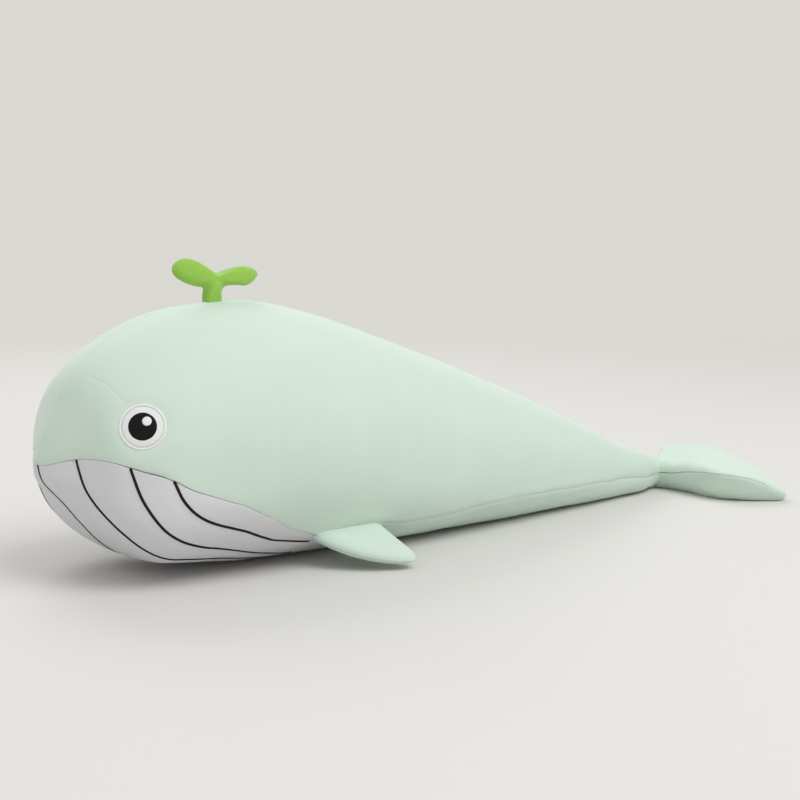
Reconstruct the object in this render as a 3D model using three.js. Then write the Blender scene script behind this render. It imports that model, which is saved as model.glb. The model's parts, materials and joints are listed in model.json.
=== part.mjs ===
// Plush whale: sewn fabric panels over loose stuffing, lying on its belly.
// Millimetres. The nose points along -X, the tail along +X, the back along +Z,
// and the whale's left side faces -Y. The flat of the belly lies at Z = 0.
import * as THREE from 'three';
import { mergeVertices } from 'three/addons/utils/BufferGeometryUtils.js';

// Driving sizes of the body
const bodyLength = 729;
const bodyHeight = 224;
const bodyWidth = 224;
const restWidth = 34;
const flatDepth = 0.5;
const skin = 1.5;
const seamGap = 0.3;
const noseOpening = 2.4;
const undersideSlack = 2.6;

// Driving sizes of the limbs
const finRootLength = 72;
const finSpan = 63;
const finThickness = 15.6;
const finDroop = THREE.MathUtils.degToRad(19);
const finGap = 0.6;
const flukeLength = 109;
const flukeSpan = 208;
const flukeTopHeight = 19.5;
const flukeUnderHeight = 24;
const flukeSeamHeight = 18.5;
const flukeTurn = THREE.MathUtils.degToRad(-32);
const sproutWidth = 86;
const sproutHeight = 36.8;
const sproutThickness = 16;
const limbSkin = 1.3;

// Driving sizes of the embroidery
const eyeDiameter = 37;
const eyeRingWidth = 2.2;
const eyeRingHeight = 1.2;
const pupilDiameter = 22.6;
const glintDiameter = 7.6;
const glintBack = 4.1;
const glintUp = 3.2;
const stitchHeight = 0.8;
const lineWidth = 2.4;
const lineHeight = 0.8;
const lineGap = 0.8;

// Body outline: the back, the belly and the flank at stations along the body
const stationShares = [
  0, 0.004, 0.02, 0.049, 0.099, 0.168, 0.257, 0.356, 0.464, 0.583, 0.701, 0.82, 0.919, 1,
];
const backShares = [
  0.45, 0.496, 0.618, 0.777, 0.895, 0.978, 1, 0.938, 0.821, 0.683, 0.533, 0.373, 0.234, 0.15,
];
const bellyShares = [0.45, 0.384, 0.326, 0.214, 0.074, 0.03, 0.002, 0, 0, 0, 0, 0.001, 0.005, 0.013];
const flankShares = [
  0, 0.116, 0.339, 0.674, 0.866, 0.955, 1, 0.938, 0.83, 0.692, 0.536, 0.37, 0.223, 0.125,
];
const bellyPowerShares = [3, 3, 3, 3.4, 3.2, 2.5, 2.2, 2.3, 2.6, 2.6, 2.6, 2.6, 2.4, 2.2];
const widestShare = 0.46;

// Seam between the side panels and the underside, as a share of the way from
// the back round to the belly, at stations along the body
const seamStationShares = [
  0, 0.006, 0.0138, 0.0346, 0.0523, 0.0948, 0.155, 0.191, 0.212, 0.237, 0.266, 0.292, 0.33, 0.375,
  0.435, 0.504, 0.593, 0.701, 0.815, 1,
];
const seamTurnShares = [
  0.4, 0.43, 0.449, 0.485, 0.501, 0.509, 0.573, 0.613, 0.645, 0.683, 0.73, 0.768, 0.728, 0.711,
  0.72, 0.7, 0.656, 0.622, 0.578, 0.5,
];
const crossSeamMiddleShare = 0.346;

// Places of the limbs and the eyes on the body
const finMiddleShare = 0.333;
const finBelowSeamShare = 0.006;
const sproutShare = 0.222;
const eyeShare = 0.069;
const eyeTurnShare = 0.378;

// Throat lines: where each leaves the jaw seam and ends, and how it settles to
// its own share of the way from the middle of the throat to that seam
const throatMiddleEndShare = 0.198;
const throatLineShares = [
  { start: 0.139, settled: 0.38, fade: 0.028, end: 0.276 },
  { start: 0.233, settled: 0.52, fade: 0.07, end: 0.296 },
  { start: 0.3068, settled: 0.77, fade: 0.045, end: 0.29 },
];

// Outlines of the limbs, half of each where it is the same on both sides:
// along the limb, then across it. The fluke's edge also rises and droops.
const finShares = [
  [-0.5, 0.01], [-0.47, 0.1], [-0.38, 0.33], [-0.17, 0.65], [0.09, 0.87], [0.3, 0.97], [0.44, 0.97],
  [0.52, 0.86], [0.53, 0.62], [0.53, 0.34], [0.53, 0.12], [0.49, 0.0], [0, 0], [-0.44, 0],
];
const flukeRootTurnShares = [0, 0.12, 0.24, 0.36];
const flukeHalfShares = [
  [0.1, 0.18, 0.03], [0.145, 0.3, 0.08],
  [0.2, 0.42, 0.2], [0.25, 0.6, 0.33], [0.31, 0.78, 0.42], [0.41, 0.93, 0.44],
  [0.579, 1, 0.36], [0.738, 0.995, 0.1], [0.843, 0.985, -0.16], [0.95, 0.975, -0.42],
  [1, 0.93, -0.55], [0.987, 0.82, -0.52], [0.902, 0.635, -0.4], [0.837, 0.43, -0.27],
  [0.778, 0.21, -0.15], [0.741, 0, -0.1],
];
const sproutShares = [
  [0.035, 0], [0.12, 0.04], [0.125, 0.2], [0.15, 0.33], [0.25, 0.39], [0.44, 0.37], [0.545, 0.5],
  [0.575, 0.65], [0.45, 0.8], [0.27, 0.775], [0.1, 0.645], [-0.04, 0.82], [-0.2, 1], [-0.33, 0.99],
  [-0.42, 0.81], [-0.38, 0.6], [-0.22, 0.42], [-0.055, 0.33], [-0.05, 0.2], [-0.055, 0.04],
];
const finCentreShares = [0.08, 0.42];
const flukeCentreShares = [0.569, 0];
const sproutCentreShares = [0.03, 0.56];

// How much lower the fluke's top gets out to its tips, and how much deeper its underside
const lobeTaperShare = 0.8;
const lobeDepthShare = 0.85;

// Mesh steps
const bodySteps = 20;
const sideSteps = 10;
const throatSteps = 11;
const underColumns = 5;
const lineSteps = 18;
const eyeSegments = 24;
const finSegments = 24;
const finRings = 4;
const flukeSegments = 48;
const flukeRings = 5;
const sproutSegments = 32;
const sproutRings = 3;

// Steps at which the slopes of the surface are taken, and passes of the search
// for a point of the eye
const slopeStep = 1e-4;
const lineSlopeStep = 1e-3;
const eyePasses = 8;

// Powers of the swelling curves of the limbs, from their seams in to their middles
const limbFullness = 3;
const lobeFullness = 6;

const mint = new THREE.MeshStandardMaterial({ color: 0xc9e2d3, roughness: 0.9, metalness: 0 });
const paleGrey = new THREE.MeshStandardMaterial({ color: 0xd6d6d8, roughness: 0.85, metalness: 0 });
const black = new THREE.MeshStandardMaterial({ color: 0x141416, roughness: 0.6, metalness: 0 });
const white = new THREE.MeshStandardMaterial({ color: 0xf4f4f2, roughness: 0.6, metalness: 0 });
const green = new THREE.MeshStandardMaterial({ color: 0x8fcf55, roughness: 1, metalness: 0 });
const fibre = new THREE.MeshStandardMaterial({ color: 0xf5f3ee, roughness: 1, metalness: 0 });

const whale = new THREE.Group();

// Smooth curve through a table, with no overshoot between its points
function smoothTable(places, values) {
  const slopes = places.slice(1).map((place, i) => (values[i + 1] - values[i]) / (place - places[i]));
  const tangents = values.map((value, i) => {
    const before = slopes[Math.max(i - 1, 0)];
    const after = slopes[Math.min(i, slopes.length - 1)];
    return before * after <= 0 ? 0 : (2 * before * after) / (before + after);
  });
  return (place) => {
    let i = places.findIndex((end, k) => k > 0 && place <= end) - 1;
    if (i < 0) i = place < places[0] ? 0 : places.length - 2;
    const width = places[i + 1] - places[i];
    const t = THREE.MathUtils.clamp((place - places[i]) / width, 0, 1);
    const rise = 3 * t * t - 2 * t * t * t;
    const leaving = t * t * t - 2 * t * t + t;
    const arriving = t * t * t - t * t;
    return values[i] * (1 - rise) + values[i + 1] * rise
      + width * (tangents[i] * leaving + tangents[i + 1] * arriving);
  };
}

const rooted = (shares) => shares.map(Math.sqrt);
const backAt = smoothTable(rooted(stationShares), backShares);
const bellyAt = smoothTable(rooted(stationShares), bellyShares);
const flankAt = smoothTable(rooted(stationShares), flankShares);
const bellyPowerAt = smoothTable(rooted(stationShares), bellyPowerShares);
const seamTurnAt = smoothTable(rooted(seamStationShares), seamTurnShares);

// A point of the body's outer surface. The root of its share of the length
// gives the station, and its turn runs from 0 on the back to 1 on the belly,
// with a minus sign on the left side.
function surfacePoint(root, turn) {
  const top = backAt(root) * bodyHeight;
  const bottom = bellyAt(root) * bodyHeight;
  const flank = flankAt(root) * bodyWidth / 2;
  const middle = bottom + widestShare * (top - bottom);
  const across = Math.sin(turn * Math.PI);
  const up = Math.cos(turn * Math.PI);
  const bend = up < 0 ? 2 / bellyPowerAt(root) : 1;
  const y = Math.sign(across) * flank * Math.abs(across) ** bend;
  const z = up < 0 ? middle - (middle - bottom) * Math.abs(up) ** bend : middle + (top - middle) * up;
  return new THREE.Vector3(root * root * bodyLength, y, z);
}

function surfaceNormal(root, turn) {
  const start = Math.max(root - slopeStep, 0);
  const along = surfacePoint(root + slopeStep, turn).sub(surfacePoint(start, turn));
  const around = surfacePoint(root, turn + slopeStep).sub(surfacePoint(root, turn - slopeStep));
  return along.cross(around).normalize();
}

// The surface moved inwards by a depth, and cut flat where the belly rests
function layerPoint(root, turn, depth) {
  const point = surfacePoint(root, turn).addScaledVector(surfaceNormal(root, turn), -depth);
  point.z = Math.max(point.z, flatDepth + depth);
  return point;
}

// Turn of a point of the underside: 0 is its middle, -1 and 1 are its seams
function undersideTurn(root, share) {
  const turn = 1 - (1 - seamTurnAt(root)) * Math.abs(share);
  return share < 0 ? -turn : turn;
}

// One closed body from rows of points, given as a list of triangles
function solid(triangles) {
  const geometry = new THREE.BufferGeometry();
  const values = triangles.flatMap((corners) => corners.flatMap((corner) => corner.toArray()));
  geometry.setAttribute('position', new THREE.Float32BufferAttribute(values, 3));
  const merged = mergeVertices(geometry);
  merged.computeVertexNormals();
  return merged;
}

function quad(a, b, c, d) {
  return [[a, b, c], [a, c, d]];
}

// A sheet with a thickness, from an outer and an inner grid of points
function sheet(outer, inner) {
  const faces = [];
  const rows = outer.length - 1;
  const columns = outer[0].length - 1;
  for (let i = 0; i < rows; i += 1) {
    for (let j = 0; j < columns; j += 1) {
      faces.push(...quad(outer[i][j], outer[i + 1][j], outer[i + 1][j + 1], outer[i][j + 1]));
      faces.push(...quad(inner[i][j], inner[i][j + 1], inner[i + 1][j + 1], inner[i + 1][j]));
    }
    faces.push(...quad(outer[i + 1][0], outer[i][0], inner[i][0], inner[i + 1][0]));
    faces.push(...quad(outer[i][columns], outer[i + 1][columns], inner[i + 1][columns], inner[i][columns]));
  }
  for (let j = 0; j < columns; j += 1) {
    faces.push(...quad(outer[0][j], outer[0][j + 1], inner[0][j + 1], inner[0][j]));
    faces.push(...quad(outer[rows][j + 1], outer[rows][j], inner[rows][j], inner[rows][j + 1]));
  }
  return solid(faces);
}

// A solid from closed rings of points, with a middle point at each end. The
// quads are cut on the other diagonal past the ring where the rings turn back,
// so that layers that lie on each other are cut alike.
function stack(rings, first, last, turningRing = rings.length) {
  const faces = [];
  const count = rings[0].length;
  const end = rings[rings.length - 1];
  for (let j = 0; j < count; j += 1) {
    const next = (j + 1) % count;
    faces.push([first, rings[0][next], rings[0][j]]);
    faces.push([last, end[j], end[next]]);
    for (let i = 0; i < rings.length - 1; i += 1) {
      const [a, b, c, d] = [rings[i][j], rings[i][next], rings[i + 1][next], rings[i + 1][j]];
      faces.push(...(i < turningRing ? quad(b, c, d, a) : quad(a, b, c, d)));
    }
  }
  return solid(faces);
}

// The same solid on the other side of the whale
function mirrored(geometry) {
  const copy = geometry.clone();
  copy.scale(1, -1, 1);
  const order = copy.index.array;
  for (let i = 0; i < order.length; i += 3) [order[i], order[i + 1]] = [order[i + 1], order[i]];
  copy.computeVertexNormals();
  return copy;
}

function middleOf(points) {
  return points.reduce((sum, point) => sum.add(point), new THREE.Vector3()).divideScalar(points.length);
}

function add(name, geometry, material, parent = whale) {
  const mesh = new THREE.Mesh(geometry, material);
  mesh.name = name;
  parent.add(mesh);
  return mesh;
}

function steps(count, start = 0, end = 1) {
  return Array.from({ length: count + 1 }, (_, i) => start + ((end - start) * i) / count);
}

// Root of the station where the panels start round the nose
function noseRoot() {
  const firstFlank = flankShares[1] * bodyWidth / 2;
  return (noseOpening / 2 / firstFlank) * Math.sqrt(stationShares[1]);
}

const firstRoot = noseRoot();

// Half of a seam's gap, as a turn round the body at a station
function gapTurn(root) {
  const girth = Math.PI * Math.max(flankAt(root) * bodyWidth / 2, noseOpening / 2);
  return seamGap / 2 / girth;
}

// The panel of one side, from the seam of the back down to the side seam
function sidePanel(side) {
  const roots = steps(bodySteps, firstRoot, 1);
  const layer = (depth) => roots.map((root) => {
    const gap = gapTurn(root);
    const turns = steps(sideSteps, gap, seamTurnAt(root) - gap).map((turn) => side * turn);
    if (side < 0) turns.reverse();
    return turns.map((turn) => layerPoint(root, turn, depth));
  });
  return sheet(layer(0), layer(skin));
}

// Station of the seam across the belly, between the throat and the belly. It
// meets the side seams where a row of the side panels does.
function crossSeamRoot(share) {
  const sideRoot = firstRoot + (1 - firstRoot) * throatSteps / bodySteps;
  const bulge = (crossSeamMiddleShare - sideRoot * sideRoot) * (1 - share * share);
  return Math.sqrt(sideRoot * sideRoot + bulge);
}

// Share of the underside at which the flat of the belly ends
function restShare(root) {
  const reach = Math.min(restWidth / (flankAt(root) * bodyWidth), widestShare);
  const turn = Math.asin(reach ** (bellyPowerAt(root) / 2)) / Math.PI;
  return Math.min(turn / (1 - seamTurnAt(root)), 1 / underColumns);
}

// Turn of a column of the underside: the first on each side of its middle lies
// on the edge of the flat, and the last on the side seam
function columnTurn(root, column, gap) {
  const rest = restShare(root);
  const side = Math.abs(column);
  const share = side <= 1 ? rest * side : rest + (1 - rest) * (side - 1) / (underColumns - 1);
  return undersideTurn(root, Math.sign(column) * share * (1 - gap / (1 - seamTurnAt(root))));
}

// A panel of the underside, between two seams across it
function underPanel(rows, startAt, endAt) {
  const columns = steps(underColumns * 2, underColumns, -underColumns);
  const layer = (depth) => steps(rows).map((way) => columns.map((column) => {
    const start = startAt(column / underColumns);
    const root = start + (endAt(column / underColumns) - start) * way;
    return layerPoint(root, columnTurn(root, column, gapTurn(root)), depth);
  }));
  return sheet(layer(0), layer(skin));
}

// Turns round the whole body that fall on the columns of the panels' inner sides
function bodyFilling() {
  const depth = skin + seamGap;
  const columns = steps(underColumns - 1, underColumns, 1);
  const rings = steps(bodySteps, firstRoot, 1).map((root) => {
    const seam = seamTurnAt(root);
    const sideTurns = steps(sideSteps, 0, seam);
    const underTurns = columns.map((column) => columnTurn(root, column, 0));
    const right = [...sideTurns.slice(0, -1), ...underTurns];
    const left = right.slice(1).map((turn) => -turn).reverse();
    return [...right, 1, ...left].reverse().map((turn) => {
      const slack = Math.abs(turn) < seam ? 0 : undersideSlack;
      return layerPoint(root, turn, depth + slack);
    });
  });
  return stack(rings, middleOf(rings[0]), middleOf(rings[rings.length - 1]));
}

// The stretched curve of one throat line on the underside
function throatLine(startRoot, endShare, shareAt) {
  const half = lineWidth / 2;
  const end = Math.sqrt(endShare) - lineWidth / bodyLength;
  const centre = steps(lineSteps, startRoot, end).map((root) => ({ root, share: shareAt(root) }));
  const rings = centre.map(({ root, share }) => {
    const turn = undersideTurn(root, share);
    const next = root + lineSlopeStep;
    const last = root - lineSlopeStep;
    const ahead = surfacePoint(next, undersideTurn(next, shareAt(next)));
    const behind = surfacePoint(last, undersideTurn(last, shareAt(last)));
    const normal = surfaceNormal(root, turn);
    const across = ahead.sub(behind).normalize().cross(normal);
    const foot = surfacePoint(root, turn).addScaledVector(normal, lineGap);
    const top = foot.clone().addScaledVector(normal, lineHeight);
    return [
      foot.clone().addScaledVector(across, half),
      foot.clone().addScaledVector(across, -half),
      top.clone().addScaledVector(across, -half / 2),
      top.clone().addScaledVector(across, half / 2),
    ];
  });
  return stack(rings, middleOf(rings[0]), middleOf(rings[rings.length - 1]));
}

// A round of the eye, laid on the curved side of the head. Its places are
// lengths back along the body and up from the middle of the eye.
function eyePoint(back, up, height) {
  const root0 = Math.sqrt(eyeShare);
  const origin = surfacePoint(root0, eyeTurnShare);
  const normal0 = surfaceNormal(root0, eyeTurnShare);
  const backwards = new THREE.Vector3(1, 0, 0);
  backwards.addScaledVector(normal0, -backwards.dot(normal0)).normalize();
  const upwards = normal0.clone().cross(backwards).normalize();
  if (upwards.z < 0) upwards.negate();
  let root = root0;
  let turn = eyeTurnShare;
  for (let pass = 0; pass < eyePasses; pass += 1) {
    const point = surfacePoint(root, turn).sub(origin);
    const missBack = back - point.dot(backwards);
    const missUp = up - point.dot(upwards);
    const nextBack = surfacePoint(root + slopeStep, turn).sub(origin);
    const nextDown = surfacePoint(root, turn + slopeStep).sub(origin);
    const alongRoot = nextBack.sub(point).divideScalar(slopeStep);
    const alongTurn = nextDown.sub(point).divideScalar(slopeStep);
    const a = alongRoot.dot(backwards);
    const b = alongTurn.dot(backwards);
    const c = alongRoot.dot(upwards);
    const d = alongTurn.dot(upwards);
    const size = a * d - b * c;
    root += (d * missBack - b * missUp) / size;
    turn += (a * missUp - c * missBack) / size;
  }
  return surfacePoint(root, turn).addScaledVector(surfaceNormal(root, turn), height);
}

function eyeRound(radii, foot, height, back = 0, up = 0, segments = eyeSegments) {
  const ring = (radius, level) => Array.from({ length: segments }, (_, i) => {
    const angle = (-2 * Math.PI * i) / segments;
    return eyePoint(back + radius * Math.cos(angle), up + radius * Math.sin(angle), level);
  });
  const below = radii.map((radius) => ring(radius, foot));
  const above = radii.map((radius) => ring(radius, foot + height)).reverse();
  return stack([...below, ...above], eyePoint(back, up, foot), eyePoint(back, up, foot + height));
}

function eyeRing(inner, outer, foot, height) {
  const ring = (radius, level) => Array.from({ length: eyeSegments }, (_, i) => {
    const angle = (-2 * Math.PI * i) / eyeSegments;
    return eyePoint(radius * Math.cos(angle), radius * Math.sin(angle), level);
  });
  const top = foot + height;
  const loops = [ring(inner, foot), ring(outer, foot), ring(outer, top), ring(inner, top)];
  const faces = [];
  for (let i = 0; i < loops.length; i += 1) {
    const from = loops[i];
    const to = loops[(i + 1) % loops.length];
    for (let j = 0; j < eyeSegments; j += 1) {
      const next = (j + 1) % eyeSegments;
      faces.push(...quad(from[j], from[next], to[next], to[j]));
    }
  }
  return solid(faces);
}

// A stuffed limb: two panels sewn along an outline, and the stuffing between.
// Rings of the outline shrink towards its centre as the limb swells over them.
// Its top, bottom and fullness depend on the place across it, and nothing of it
// reaches below its floor.
function stuffedLimb({ points, centre, top, bottom, floor, fullness, segments, rings }) {
  const corners = points.map(([x, y, height = 0]) => new THREE.Vector3(x, y, height));
  const curve = new THREE.CatmullRomCurve3(corners, true, 'centripetal');
  const rim = curve.getPoints(segments).slice(0, segments);
  const area = rim.reduce((sum, p, i) => {
    const q = rim[(i + 1) % segments];
    return sum + p.x * q.y - q.x * p.y;
  }, 0);
  if (area < 0) rim.reverse();
  const inwards = rim.map((p, i) => {
    const before = rim[(i + segments - 1) % segments];
    const after = rim[(i + 1) % segments];
    return new THREE.Vector3(before.y - after.y, after.x - before.x, 0).normalize();
  });
  const middle = new THREE.Vector3(centre[0], centre[1], 0);
  const ways = steps(rings).slice(1).map((k) => Math.sin((k * Math.PI) / 2));
  const above = (z, depth) => Math.max(z, floor + depth);
  const swell = (side, across) => (side > 0 ? top(across) : bottom(across));
  const layer = (depth, lift, side) => ways.map((way) => {
    return rim.map((p, i) => {
      const height = swell(side, p.y * way) - depth - lift;
      const rise = Math.sqrt(Math.max(1 - way ** fullness(p.y), 0)) * height;
      const point = p.clone().addScaledVector(inwards[i], depth);
      point.sub(middle).multiplyScalar(way).add(middle);
      point.z = above(p.z * way * way + side * (rise + lift), depth);
      return point;
    });
  });
  const end = (depth, side) => {
    const z = above(side * (swell(side, middle.y) - depth), depth);
    return new THREE.Vector3(middle.x, middle.y, z);
  };
  const lift = seamGap / 2;
  const panel = (lowDepth, highDepth, side) => stack(
    [...layer(lowDepth, lift, side), ...layer(highDepth, lift, side).reverse()],
    end(lowDepth, side),
    end(highDepth, side),
    rings,
  );
  const depth = limbSkin + seamGap;
  const stuffing = [...layer(depth, 0, -1), ...layer(depth, 0, 1).slice(0, -1).reverse()];
  return {
    upper: panel(limbSkin, 0, 1),
    lower: panel(0, limbSkin, -1),
    filling: stack(stuffing, end(depth, -1), end(depth, 1), rings - 1),
  };
}

// How far the rounded root of a limb lies behind the line that it turns about
function rootRadius(swell, reach) {
  return (limbFullness / 2) * swell ** 2 / reach;
}

// Body panels and the stuffing inside them
add('body_filling', bodyFilling(), fibre);
add('side_panel_right', sidePanel(1), mint);
add('side_panel_left', sidePanel(-1), mint);
const halfGapRoot = seamGap / bodyLength / 2;
const throatEnd = (share) => crossSeamRoot(share) - halfGapRoot;
const bellyStart = (share) => crossSeamRoot(share) + halfGapRoot;
add('throat_panel', underPanel(throatSteps, () => firstRoot, throatEnd), paleGrey);
add('belly_panel', underPanel(bodySteps - throatSteps, bellyStart, () => 1), mint);

// Embroidered throat lines
const middleStart = firstRoot + lineWidth / bodyLength;
add('throat_line_middle', throatLine(middleStart, throatMiddleEndShare, () => 0), black);
throatLineShares.forEach(({ start, settled, fade, end }, i) => {
  const shareAt = (root) => settled + (1 - settled) * Math.exp(-Math.max(root - start, 0) / fade);
  const line = throatLine(start, end, shareAt);
  add(`throat_line_right_${i + 1}`, line, black);
  add(`throat_line_left_${i + 1}`, mirrored(line), black);
});

// Embroidered eyes
const eyeRadius = eyeDiameter / 2;
const pupilFoot = seamGap + stitchHeight + seamGap;
const glintFoot = pupilFoot + stitchHeight + seamGap;
const discRadius = eyeRadius - eyeRingWidth - seamGap;
const glintSegments = eyeSegments / 2;
const eyePieces = [
  ['eye_ring', eyeRing(eyeRadius - eyeRingWidth, eyeRadius, seamGap, eyeRingHeight), white],
  ['eye_disc', eyeRound([discRadius / 2, discRadius], seamGap, stitchHeight), paleGrey],
  ['eye_pupil', eyeRound([pupilDiameter / 4, pupilDiameter / 2], pupilFoot, stitchHeight), black],
  [
    'eye_glint',
    eyeRound([glintDiameter / 2], glintFoot, stitchHeight, glintBack, glintUp, glintSegments),
    white,
  ],
];
eyePieces.forEach(([name, geometry, material]) => {
  add(`${name}_right`, geometry, material);
  add(`${name}_left`, mirrored(geometry), material);
});

// Fins, sewn into the side seams. Each turns about the line of its root.
const finReach = finCentreShares[1] * finSpan;
const finRoot = rootRadius(finThickness / 2, finReach);
const fin = stuffedLimb({
  points: finShares.map(([along, out]) => [along * finRootLength, out * finSpan - finRoot]),
  centre: [finCentreShares[0] * finRootLength, finReach - finRoot],
  top: () => finThickness / 2,
  bottom: () => finThickness / 2,
  floor: -finThickness / 2,
  fullness: () => limbFullness,
  segments: finSegments,
  rings: finRings,
});
const finStation = Math.sqrt(finMiddleShare);
const finSeam = seamTurnAt(finStation) + finBelowSeamShare;
const finHinge = surfacePoint(finStation, finSeam)
  .addScaledVector(surfaceNormal(finStation, finSeam), finRoot + finGap);
const rightFin = new THREE.Group();
rightFin.position.copy(finHinge);
rightFin.rotation.x = -finDroop;
const leftFin = new THREE.Group();
leftFin.position.set(finHinge.x, -finHinge.y, finHinge.z);
leftFin.rotation.x = finDroop;
add('fin_top_panel_right', fin.upper, mint, rightFin);
add('fin_bottom_panel_right', fin.lower, mint, rightFin);
add('fin_filling_right', fin.filling, fibre, rightFin);
add('fin_top_panel_left', mirrored(fin.upper), mint, leftFin);
add('fin_bottom_panel_left', mirrored(fin.lower), mint, leftFin);
add('fin_filling_left', mirrored(fin.filling), fibre, leftFin);
whale.add(rightFin, leftFin);

// Fluke, gathered into the neck of the tail
const flukeReach = flukeCentreShares[0] * flukeLength;
const flukeRoot = rootRadius(flukeUnderHeight, flukeReach);
const lobeShare = (across) => Math.abs(across) / (flukeSpan / 2);
const rootArc = flukeRootTurnShares.map((turn) => (
  [-flukeRoot * Math.cos(turn * Math.PI), flukeRoot * Math.sin(turn * Math.PI), 0]
));
const flukeHalf = [...rootArc, ...flukeHalfShares.map(([along, out, up]) => (
  [along * flukeLength - flukeRoot, out * flukeSpan / 2, up * flukeSeamHeight]
))];
const fluke = stuffedLimb({
  points: [...flukeHalf, ...flukeHalf.slice(1, -1).reverse().map(([x, y, z]) => [x, -y, z])],
  centre: [flukeReach - flukeRoot, 0],
  top: (across) => flukeTopHeight * (1 - lobeTaperShare * lobeShare(across) ** 2),
  bottom: (across) => flukeUnderHeight * (1 + lobeDepthShare * lobeShare(across)),
  floor: flatDepth - flukeSeamHeight,
  fullness: (across) => limbFullness + (lobeFullness - limbFullness) * lobeShare(across),
  segments: flukeSegments,
  rings: flukeRings,
});
const tail = new THREE.Group();
tail.position.set(bodyLength + seamGap + flukeRoot, 0, flukeSeamHeight);
tail.rotation.z = flukeTurn;
add('fluke_top_panel', fluke.upper, mint, tail);
add('fluke_bottom_panel', fluke.lower, mint, tail);
add('fluke_filling', fluke.filling, fibre, tail);
whale.add(tail);

// Sprout, standing in the seam of the back
const sproutReach = sproutCentreShares[1] * sproutHeight;
const sproutRoot = rootRadius(sproutThickness / 2, sproutReach);
const sprout = stuffedLimb({
  points: sproutShares.map(([along, up]) => [along * sproutWidth, up * sproutHeight - sproutRoot]),
  centre: [sproutCentreShares[0] * sproutWidth, sproutReach - sproutRoot],
  top: () => sproutThickness / 2,
  bottom: () => sproutThickness / 2,
  floor: -sproutThickness / 2,
  fullness: () => limbFullness,
  segments: sproutSegments,
  rings: sproutRings,
});
const sproutTop = surfacePoint(Math.sqrt(sproutShare), 0);
const stalk = new THREE.Group();
stalk.position.set(sproutTop.x, 0, sproutTop.z + sproutRoot + seamGap);
stalk.rotation.x = Math.PI / 2;
add('sprout_panel_left', sprout.upper, green, stalk);
add('sprout_panel_right', sprout.lower, green, stalk);
add('sprout_filling', sprout.filling, fibre, stalk);
whale.add(stalk);

// The origin lies under the middle of the whale, on what it rests on
whale.updateMatrixWorld(true);
const reach = new THREE.Box3().setFromObject(whale, true);
whale.position.set(-(reach.min.x + reach.max.x) / 2, -(reach.min.y + reach.max.y) / 2, -flatDepth);

export default whale;
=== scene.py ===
import json
import math

import bmesh
import bpy
from mathutils import Matrix, Vector, noise
from mathutils.bvhtree import BVHTree
from mathutils.kdtree import KDTree


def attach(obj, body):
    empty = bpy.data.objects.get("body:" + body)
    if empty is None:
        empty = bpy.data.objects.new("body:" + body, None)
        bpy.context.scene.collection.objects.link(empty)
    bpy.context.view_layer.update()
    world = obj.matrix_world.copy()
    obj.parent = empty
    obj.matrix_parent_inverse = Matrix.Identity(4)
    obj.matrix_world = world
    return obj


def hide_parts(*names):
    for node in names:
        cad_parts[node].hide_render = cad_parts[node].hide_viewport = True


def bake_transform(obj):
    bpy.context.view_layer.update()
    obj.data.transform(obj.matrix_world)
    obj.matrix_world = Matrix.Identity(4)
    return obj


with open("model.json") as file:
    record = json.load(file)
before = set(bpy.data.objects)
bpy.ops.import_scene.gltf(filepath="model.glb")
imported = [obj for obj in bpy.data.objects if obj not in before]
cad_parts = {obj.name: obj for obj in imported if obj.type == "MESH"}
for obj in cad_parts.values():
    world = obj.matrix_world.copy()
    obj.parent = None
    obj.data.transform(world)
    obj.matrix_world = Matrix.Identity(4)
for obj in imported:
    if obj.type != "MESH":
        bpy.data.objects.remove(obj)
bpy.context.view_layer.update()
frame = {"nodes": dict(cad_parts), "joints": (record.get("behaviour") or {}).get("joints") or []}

bl_info = {
    "name": "Plush Whale",
    "version": (1, 0, 0),
    "blender": (4, 5, 0),
    "location": "View3D > Sidebar > Whale",
    "description": "Stuffs, sews and embroiders a plush whale round its frame",
    "category": "Object",
}

SIDES = ("left", "right")
LINES = ("middle", "left_1", "left_2", "left_3", "right_1", "right_2", "right_3")

# The way out of each panel's solid, towards its outer face
PANEL_OUT = {
    "side_panel_left": (0, -1, 0),
    "side_panel_right": (0, 1, 0),
    "throat_panel": (0, 0, -1),
    "belly_panel": (0, 0, -1),
    "fin_top_panel_left": (0, 0, 1),
    "fin_top_panel_right": (0, 0, 1),
    "fin_bottom_panel_left": (0, 0, -1),
    "fin_bottom_panel_right": (0, 0, -1),
    "fluke_top_panel": (0, 0, 1),
    "fluke_bottom_panel": (0, 0, -1),
    "sprout_panel_left": (0, -1, 0),
    "sprout_panel_right": (0, 1, 0),
}
BODY_PANELS = ("side_panel_left", "side_panel_right", "throat_panel", "belly_panel")
JOINTS = {joint["child"]: joint for joint in frame["joints"]}

# The bend between two faces at which the outer face of a panel ends
FLAT_ANGLE = math.radians(52)
STEEP_ANGLE = math.radians(86)
STEEP_PANELS = ("fluke_top_panel", "fluke_bottom_panel")

# Points closer than this are one point, in a solid and across a seam
CAD_MERGE = 1e-5
SEAM_MERGE = 0.0006

# How fine the forms and the panels are
FORM_LEVELS = 2
PANEL_LEVELS = 3
THROAT_LEVELS = 4
EDGE_CUTS = 3
RIM_STEP = 0.001

# How a value is averaged: over this many places, each with at least this weight
NEIGHBOURS = 16
LEAST_WEIGHT = 1e-9

# The cloth simulation, and how far from a seam the fabric is held
SIM_FRAMES = 20
PIN_REACH = 0.007

# How sharply a seam, a hollow and the dart end: the powers of their fall-off
SEAM_EDGE = 1.4
HOLLOW_EDGE = 1.5
DART_EDGE = 1.6

# The fabric at a seam and between the seams
SEAM_REACH = 0.002
# SEAM_SHADE_REACH: how far the painted shade along a seam reaches
SEAM_SHADE_REACH = 0.004
PUCKERS_PER_METRE = 120
PUCKER_REACH = 0.012
LUMPS_PER_METRE = 13
LUMP = 0.0009

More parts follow.
